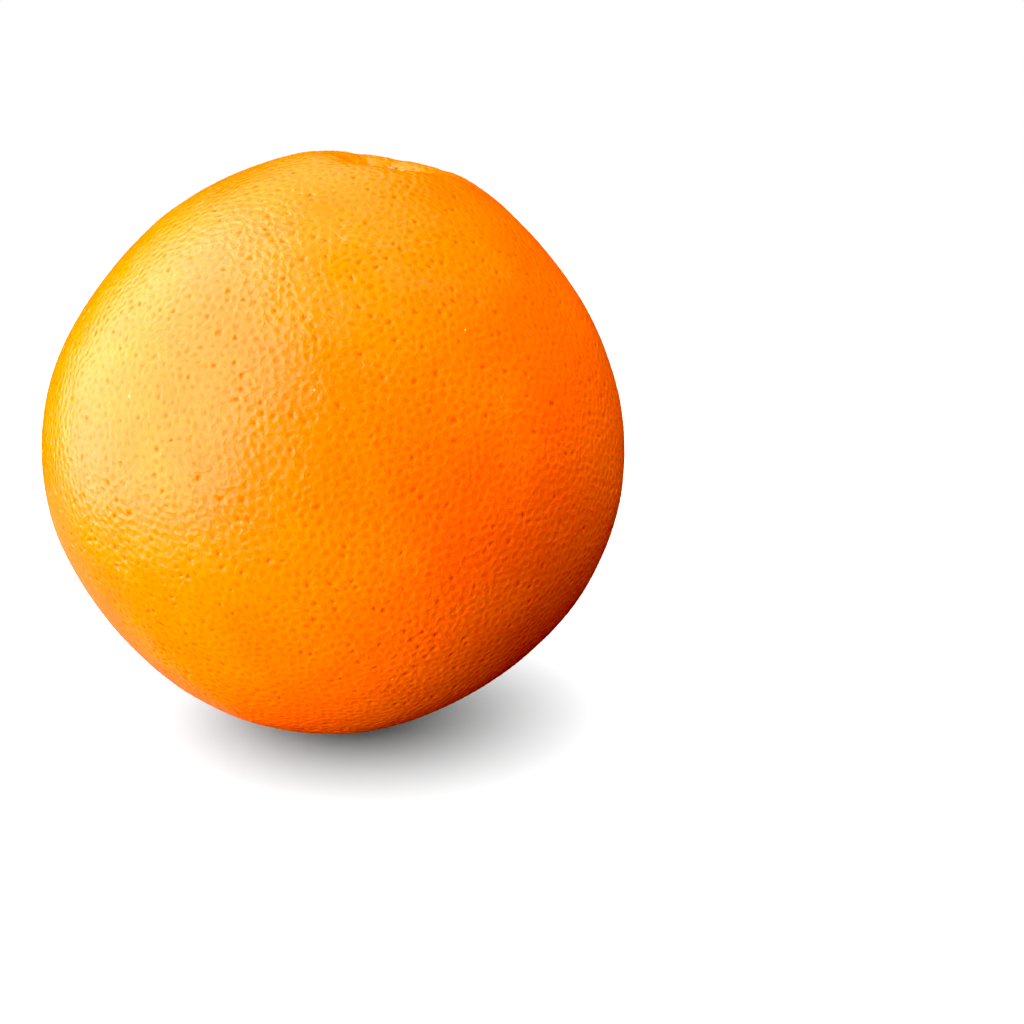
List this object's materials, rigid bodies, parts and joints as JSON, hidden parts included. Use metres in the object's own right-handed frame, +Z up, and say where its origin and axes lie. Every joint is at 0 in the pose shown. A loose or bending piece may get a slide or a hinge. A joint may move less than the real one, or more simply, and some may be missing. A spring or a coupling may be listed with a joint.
{
  "type": "orange",
  "caption": "Whole round orange with finely pored peel and a dry stem button in its stem hollow, resting on a small flat spot.",
  "frame": {"origin": "middle of the fruit's footprint, on the surface that it rests on", "axes": "+Z up from the flat spot. The stem end is on top and leans 12.5 degrees from +Z, mostly towards +X; -Y is the side seen from the front"},
  "size_m": [0.0808, 0.0808, 0.0801],
  "materials": {
    "peel": "fresh citrus peel: deep orange, waxy and semi-matte, covered in fine oil pores",
    "dry_calyx": "dry, matt, green-brown calyx with a pale woody stalk end"
  },
  "bodies": {
    "root": {"fruit": "peel", "stem_button": "dry_calyx"}
  },
  "joints": []
}
